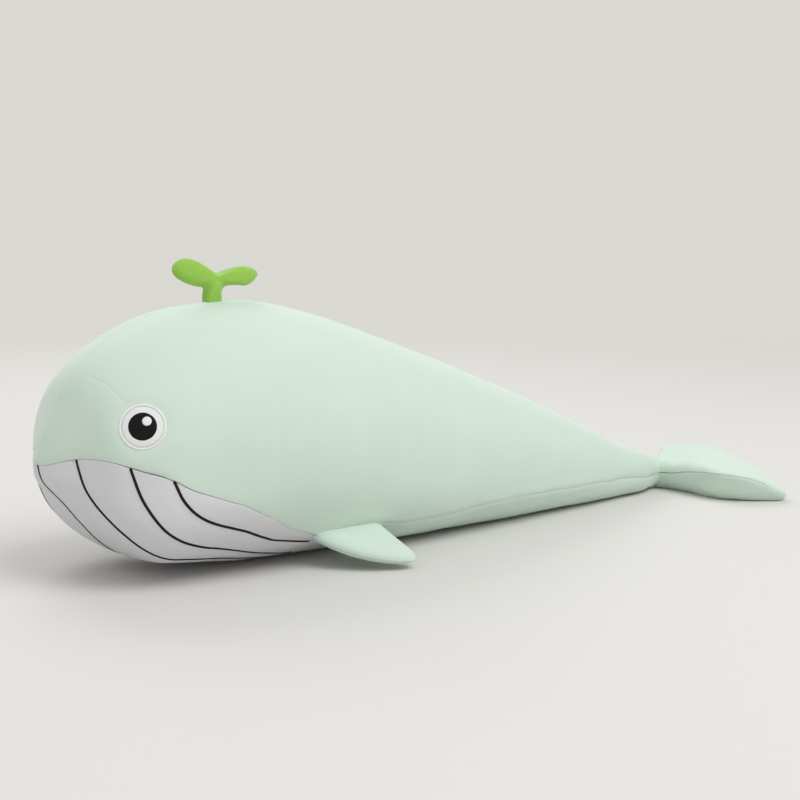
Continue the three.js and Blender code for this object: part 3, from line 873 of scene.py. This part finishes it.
class WHALE_OT_body(bpy.types.Operator):
    """Stuff the body and sew its four panels over it"""

    bl_idname = "whale.body"
    bl_label = "Body"

    def execute(self, context):
        own = context.scene.whale_stuffing
        colors = context.scene.whale_fabric
        sheets = {name: outer_sheet(name) for name in BODY_PANELS}
        form = closed_form(list(sheets.values()), "body_stuffing", own.body_voxel)
        seams = tree_of(rim_points(sheets.values()))
        jaw = tree_of(rim_points([sheets["throat_panel"]]))
        moved, outward = stuff(form, seams, own.body_swell, own.pressure, own.body_voxel)
        panels = {name: fine_sheet(sheet, name + "_sewn", THROAT_LEVELS
                                   if name == "throat_panel" else PANEL_LEVELS)
                  for name, sheet in sheets.items()}
        ends = [vert.co for sheet in sheets.values() for vert in sheet.data.vertices]
        nose = min(ends, key=lambda place: place.x).copy()
        nose.y = 0.0
        tail_x = max(place.x for place in ends) - SEAM_MERGE

        def kept(place):
            return seams.find(place)[2] >= own.body_keep_off or place.x > tail_x

        reach = own.body_fit_reach
        fit = fitted(sheets.values(), panels.values(), moved, (reach, reach * BODY_FIT_AGAIN),
                     kept)
        sprout_x = JOINTS["sprout"]["pos_m"][0]
        pivot, hinge = Vector(JOINTS["fluke"]["pos_m"]), Vector(JOINTS["fluke"]["axis"])
        turn = math.atan2(hinge.x, -hinge.y)

        def carry(place):
            towards = nose - place
            towards.x = 0.0
            close = own.nose_close * math.exp(-towards.length / own.nose_close)
            share = max(0.0, 1 - (tail_x - place.x) / TAIL_BEND) ** 2
            arm = place - pivot
            turned = Matrix.Rotation(turn * share, 3, "Z")
            bend = turned @ arm - arm + turned @ Vector((own.tail_reach * share, 0, 0))
            return (moved(place) + fit(place) + towards.normalized() * close + bend
                    + at_fin(place))

        def at_fin(place):
            root = Vector(JOINTS["left_fin"]["pos_m"])
            beyond = max(0.0, abs(place.x - root.x) - own.fin_root)
            away = Vector((beyond, abs(place.y) - abs(root.y), place.z - root.z)).length
            pull = own.fin_pull * math.exp(-(away / own.fin_pull_reach) ** HOLLOW_EDGE)
            return Vector((0, math.copysign(pull, place.y), 0))

        # A seam's strength scales both its depth and the painted shade along it
        def strength(seam):
            if seam.x > tail_x:
                return own.tail_seam
            full = 1.0
            if jaw.find(seam)[2] < SEAM_MERGE:
                full = own.jaw_seam
            elif abs(seam.y) < SEAM_MERGE and seam.z > nose.z:
                full = own.back_seam_front if seam.x < sprout_x else own.back_seam
            return full * (1 - math.exp(-((seam - nose).length / own.nose_reach) ** 2))

        mint = pile_fabric("mint_pile", tuple(colors.mint))
        pale = pile_fabric("throat_pile", tuple(colors.throat), sheen=0.25)
        for side, sign in (("left", -1), ("right", 1)):
            name = "side_panel_" + side
            surface = surface_of(panels[name])
            dart = tree_of(smooth_path([surface.find_nearest(Vector((x, sign * y, z)))[0]
                                        for x, y, z in DART], own.fabric))
            middle = eye_frame(side, surface)[0]
            eye = tree_of([middle])

            def marks(place):
                away = dart.find(place)[2]
                beside = (place - middle).length - own.eye_radius
                steep = (max(0.0, beside) / own.eye_sink_reach) ** HOLLOW_EDGE
                depth = own.dart_depth * min(1.0, abs(place.y) / DART_FADE)
                return (-own.eye_sink * math.exp(-steep)
                        - depth * math.exp(-(away / own.dart_reach) ** DART_EDGE))

            made = panels[name]
            refine(made, [(eye, own.eye_radius + 2 * own.eye_sink_reach, EYE_CUTS),
                          (dart, DART_CUT_REACH, DART_CUTS)])
            sew(made, seams, carry, outward, own.seam_depth, own.pucker, strength, marks)
            grounded(made)
            thicken(made, own.fabric)
            dress(made, mint, "mint_fabric", "body", name)

        lines = tree_of([point for name in LINES for point in line_path(name)[::PULL_EVERY]])

        def channels(place):
            away = lines.find(place)[2]
            return -own.line_depth * math.exp(-(away / own.line_reach) ** HOLLOW_EDGE)

        for name, finish, slot_name, more in (
            ("throat_panel", pale, "throat_fabric", channels),
            ("belly_panel", mint, "mint_fabric", None),
        ):
            made = panels[name]
            refine(made)
            sew(made, seams, carry, outward, own.seam_depth, own.pucker, strength, more)
            grounded(made)
            thicken(made, own.fabric)
            dress(made, finish, slot_name, "body", name)
        move_points(form, lambda place, normal: carry(place) - own.stuffing_gap * normal)
        dress(form, fibre_fill(), "filling", "body", "body_filling")
        for sheet in sheets.values():
            drop(sheet)
        return {"FINISHED"}


class WHALE_OT_throat_lines(bpy.types.Operator):
    """Embroider the lines of the throat"""

    bl_idname = "whale.throat_lines"
    bl_label = "Throat lines"

    def execute(self, context):
        own = context.scene.whale_thread
        throat = surface_of(bpy.data.objects["throat_panel_sewn"])
        black = stitches("black_thread", tuple(context.scene.whale_fabric.dark_thread),
                         sheen=0.03, shine=0.2)
        for name in LINES:
            path = line_path(name)
            count = len(path) - 1
            deselect()
            bpy.ops.mesh.primitive_grid_add(
                x_subdivisions=count, y_subdivisions=THREAD_FACES, size=1)
            made = context.active_object
            made.name = "throat_line_" + name + "_stitched"
            feet = evened([throat.find_nearest(point)[:2] for point in path])
            for vert in made.data.vertices:
                i = round((vert.co.x + 0.5) * count)
                across = 2 * vert.co.y
                foot, out = feet[i]
                ahead = (feet[min(i + 1, count)][0] - feet[max(i - 1, 0)][0]).normalized()
                aside = out.cross(ahead).normalized()
                turn = 2 * math.pi * i * THREAD_STEP / STITCH_PITCH + across
                ridge = 1 + STITCH_RIDGE * math.cos(turn)
                to_end = (min(i, count - i) + END_STEPS) * THREAD_STEP
                taper = min(1.0, to_end / own.line_width * 2)
                crown = math.sqrt(max(0.0, 1 - across ** 2)) * taper
                vert.co = (foot + aside * across * own.line_width / 2 * math.sqrt(taper)
                           + out * (own.line_height * crown * ridge - own.sink))
            modify(made, "SOLIDIFY", thickness=own.line_height, offset=-1)
            face_out(made)
            dress(made, black, "black_thread", "body", "throat_line_" + name)
        return {"FINISHED"}


class WHALE_OT_eyes(bpy.types.Operator):
    """Embroider both eyes"""

    bl_idname = "whale.eyes"
    bl_label = "Eyes"

    def execute(self, context):
        own = context.scene.whale_thread
        colors = context.scene.whale_fabric
        black = stitches("pupil_thread", tuple(colors.dark_thread), sheen=0.02, gloss=0.6,
                         turn=0.5, shine=0.15)
        white = stitches("ring_thread", tuple(colors.light_thread), turn=1.2)
        grey = stitches("disc_thread", tuple(colors.eye), pitch=0.0007, gloss=0.7)
        for side in SIDES:
            surface = surface_of(bpy.data.objects["side_panel_" + side + "_sewn"])
            place = eye_frame(side, surface)
            disc_radius = own.eye_radius - own.ring_width
            ring = satin_ring("ring", own.eye_radius, own.ring_width, own.ring_height)
            disc = patch("disc", disc_radius, own.patch_height, own.disc_foot)
            pupil = patch("pupil", own.pupil_radius, own.patch_height, own.pupil_foot)
            glint = patch("glint", own.glint_radius, own.patch_height, own.glint_foot,
                          rings=5, segments=48)
            for vert in glint.data.vertices:
                vert.co.x += own.glint_back
                vert.co.y += own.glint_up
            for name, piece, finish, slot_name in (
                ("eye_ring", ring, white, "white_thread"),
                ("eye_disc", disc, grey, "throat_fabric"),
                ("eye_pupil", pupil, black, "black_thread"),
                ("eye_glint", glint, white, "white_thread"),
            ):
                lay(piece, place, surface)
                if name != "eye_ring":
                    modify(piece, "SOLIDIFY", thickness=own.patch_height, offset=-1)
                face_out(piece)
                piece.name = name + "_" + side + "_stitched"
                dress(piece, finish, slot_name, "body", name + "_" + side)
        return {"FINISHED"}


def limb(names, filling, body, voxel, finish, slot_name, own, sink, settle,
         bend=(-0.004, 0.016), seam=0.5, form_reach=0.008, swell=1.0, fuller=0.0, wider=0.0,
         depth=0.5, rounding=0, crown=1.0, bulge=0.0, firm=1.0, soft=0.0):
    """Stuffs one limb, sews its panels over it and sets its root in the body.

    The root goes in by sink, which fades along the limb over settle, and gets fuller and wider
    there. bend gives two distances from its joint, whose points are not used. seam, swell and
    depth are shares of the body's seam and fabric, of the limbs' swell and of the stuffing's
    gap, and firm is the strength of the seam. rounding counts the rounds that smooth a flat
    limb's shoulders, crown raises it, bulge rounds it beside its seam, and soft is the radius
    over which its edges are rounded."""
    sheets = {name: outer_sheet(name) for name in names}
    form = closed_form(list(sheets.values()), filling + "_stuffed", voxel)
    seams = tree_of(rim_points(sheets.values()))
    moved, outward = stuff(form, seams, own.limb_swell * swell, own.pressure, voxel)
    panels = {name: fine_sheet(sheet, name + "_sewn", PANEL_LEVELS)
              for name, sheet in sheets.items()}
    fit = fitted(sheets.values(), panels.values(), moved,
                 (form_reach, form_reach * LIMB_FIT_AGAIN), lambda place: True)
    joint = JOINTS[body]
    pivot, axis = Vector(joint["pos_m"]), Vector(joint["axis"]).normalized()
    corners = [Vector(corner) for corner in form.bound_box]
    out = middle_of(corners) - pivot
    out = (out - axis * out.dot(axis)).normalized()
    over = out.cross(axis)
    root = min((vert.co - pivot).dot(out) for vert in form.data.vertices)

    def set_in(place, normal):
        arm = place - pivot
        near = math.exp(-(arm.dot(out) - root) / settle)
        return (-out * sink * near + over * (arm.dot(over) * fuller * near)
                + axis * (arm.dot(axis) * wider * near))

    def carry(place):
        edge, _, away = seams.find(place)
        share = min(1.0, away / BULGE_REACH)
        fullness = (math.sqrt(share + BULGE_FOOT) - BULGE_SEAM) * (1 - share) ** 2
        return moved(place) + fit(place) + outward(edge) * bulge * fullness

    start, end = (pivot + out * way for way in bend)
    for made in panels.values():
        if rounding:
            smooth_inside(made, rounding, pivot.z, crown)
        refine(made)
        sew(made, seams, carry, outward, own.seam_depth * seam, own.pucker,
            lambda place: firm)
    if soft:
        inwards = softened(panels.values(), outward, soft)
        for made in panels.values():
            move_points(made, inwards)
    for name, sheet in sheets.items():
        made = panels[name]
        move_points(made, set_in)
        grounded(made)
        thicken(made, own.fabric * seam)
        dress(made, finish, slot_name, None, name)
        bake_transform(made)
        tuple(start)
        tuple(end)
        drop(sheet)
    move_points(form, lambda place, normal: moved(place) + fit(place))
    move_points(form, set_in)
    move_points(form, lambda place, normal: -own.stuffing_gap * depth * normal)
    dress(form, fibre_fill(), "filling", None, filling)
    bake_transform(form)
    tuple(start)
    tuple(end)


class WHALE_OT_fins(bpy.types.Operator):
    """Stuff and sew both fins"""

    bl_idname = "whale.fins"
    bl_label = "Fins"

    def execute(self, context):
        own = context.scene.whale_stuffing
        for side in SIDES:
            limb(["fin_top_panel_" + side, "fin_bottom_panel_" + side], "fin_filling_" + side,
                 side + "_fin", own.limb_voxel / 2, bpy.data.materials["mint_pile"],
                 "mint_fabric", own, sink=0.006, settle=0.009, fuller=0.2)
        return {"FINISHED"}


class WHALE_OT_fluke(bpy.types.Operator):
    """Stuff and sew the fluke"""

    bl_idname = "whale.fluke"
    bl_label = "Fluke"

    def execute(self, context):
        own = context.scene.whale_stuffing
        limb(["fluke_top_panel", "fluke_bottom_panel"], "fluke_filling", "fluke",
             own.limb_voxel, bpy.data.materials["mint_pile"], "mint_fabric", own,
             sink=0.008, settle=0.012, bend=(-0.010, 0.025), fuller=0.35, wider=0.15,
             depth=2.2, rounding=300, crown=1.2, bulge=0.022, firm=0.5, soft=0.007)
        return {"FINISHED"}


class WHALE_OT_sprout(bpy.types.Operator):
    """Stuff and sew the sprout"""

    bl_idname = "whale.sprout"
    bl_label = "Sprout"

    def execute(self, context):
        own = context.scene.whale_stuffing
        fleece = pile_fabric("green_fleece", tuple(context.scene.whale_fabric.sprout),
                             sheen=0.3, fibre=900, height=0.0005, dark=0.88, light=1.1)
        limb(["sprout_panel_left", "sprout_panel_right"], "sprout_filling", "sprout",
             own.sprout_voxel, fleece, "green_fabric", own, sink=0.008, settle=0.006,
             bend=(-0.002, 0.009), seam=0.25, form_reach=0.004, swell=0.5, depth=0.25)
        return {"FINISHED"}


class WHALE_OT_stage(bpy.types.Operator):
    """Lay the floor and place the lights and the camera"""

    bl_idname = "whale.stage"
    bl_label = "Stage"

    def execute(self, context):
        view = context.scene.whale_view
        deselect()
        bpy.ops.mesh.primitive_circle_add(
            vertices=96, radius=view.floor_radius, fill_type="NGON")
        floor = context.active_object
        floor.name = "floor"
        plain = bpy.data.materials.new("plain_floor")
        plain.use_nodes = True
        tree = plain.node_tree
        shader = tree.nodes["Principled BSDF"]
        give(tree, shader, {"Base Color": (*view.floor, 1), "Roughness": 0.9})
        place = node(tree, "ShaderNodeTexCoord").outputs["Object"]
        far = node(tree, "ShaderNodeVectorMath", {0: place}, operation="LENGTH")
        fade = node(tree, "ShaderNodeMapRange", {
            "Value": far.outputs["Value"], "From Min": view.fade_start,
            "From Max": view.fade_end}, interpolation_type="SMOOTHSTEP")
        seen = node(tree, "ShaderNodeLightPath").outputs["Is Camera Ray"]
        shown = node(tree, "ShaderNodeMath", {0: fade.outputs["Result"], 1: seen},
                     operation="MULTIPLY")
        backdrop = node(tree, "ShaderNodeEmission", {"Color": (*view.wall, 1)})
        choice = node(tree, "ShaderNodeMixShader", {
            "Fac": shown.outputs["Value"], 1: shader.outputs[0], 2: backdrop.outputs[0]})
        give(tree, tree.nodes["Material Output"], {"Surface": choice.outputs[0]})
        floor.data.materials.append(plain)
        world = bpy.data.worlds.new("room")
        context.scene.world = world
        world.use_nodes = True
        tree = world.node_tree
        light = tree.nodes["Background"]
        give(tree, light, {"Color": (*view.room_light, 1), "Strength": ROOM_STRENGTH})
        wall = node(tree, "ShaderNodeBackground", {"Color": (*view.wall, 1), "Strength": 1.0})
        seen = node(tree, "ShaderNodeLightPath").outputs["Is Camera Ray"]
        choice = node(tree, "ShaderNodeMixShader", {
            "Fac": seen, 1: light.outputs[0], 2: wall.outputs[0]})
        give(tree, tree.nodes["World Output"], {"Surface": choice.outputs[0]})
        for name, place, aim, size, energy in LAMPS:
            bpy.ops.object.light_add(type="AREA", location=place)
            lamp = context.active_object
            lamp.name = name
            lamp.data.size = size
            lamp.data.energy = energy
            ahead = Vector(aim) - Vector(place)
            lamp.rotation_euler = ahead.to_track_quat("-Z", "Y").to_euler()
        bpy.ops.object.camera_add(location=view.camera_place)
        camera = context.active_object
        camera.rotation_euler = (math.pi / 2 - view.pitch, 0, -view.heading)
        camera.data.lens = view.lens
        camera.data.sensor_width = 36
        camera.data.clip_end = 100
        context.scene.camera = camera
        context.scene.view_settings.view_transform = "Standard"
        return {"FINISHED"}


class WHALE_PT_panel(bpy.types.Panel):
    """Lists the steps that make the whale"""

    bl_label = "Plush Whale"
    bl_idname = "WHALE_PT_panel"
    bl_space_type = "VIEW_3D"
    bl_region_type = "UI"
    bl_category = "Whale"

    def draw(self, context):
        for group_name in GROUPS:
            group = getattr(context.scene, group_name)
            for name in group.bl_rna.properties.keys():
                if name not in ("rna_type", "name"):
                    self.layout.prop(group, name)
        for operator in OPERATORS:
            self.layout.operator(operator.bl_idname)


GROUPS = {
    "whale_fabric": WhaleFabric,
    "whale_stuffing": WhaleStuffing,
    "whale_thread": WhaleThread,
    "whale_view": WhaleView,
}
OPERATORS = (WHALE_OT_stage, WHALE_OT_body, WHALE_OT_throat_lines, WHALE_OT_eyes,
             WHALE_OT_fins, WHALE_OT_fluke, WHALE_OT_sprout)


def register():
    for name, group in GROUPS.items():
        bpy.utils.register_class(group)
        setattr(bpy.types.Scene, name, bpy.props.PointerProperty(type=group))
    for operator in OPERATORS:
        bpy.utils.register_class(operator)
    bpy.utils.register_class(WHALE_PT_panel)


def unregister():
    bpy.utils.unregister_class(WHALE_PT_panel)
    for operator in reversed(OPERATORS):
        bpy.utils.unregister_class(operator)
    for name, group in GROUPS.items():
        delattr(bpy.types.Scene, name)
        bpy.utils.unregister_class(group)


def main():
    register()
    for operator in OPERATORS:
        call = operator.bl_idname.split(".")[1]
        getattr(bpy.ops.whale, call)()


if __name__ == "__main__":
    main()
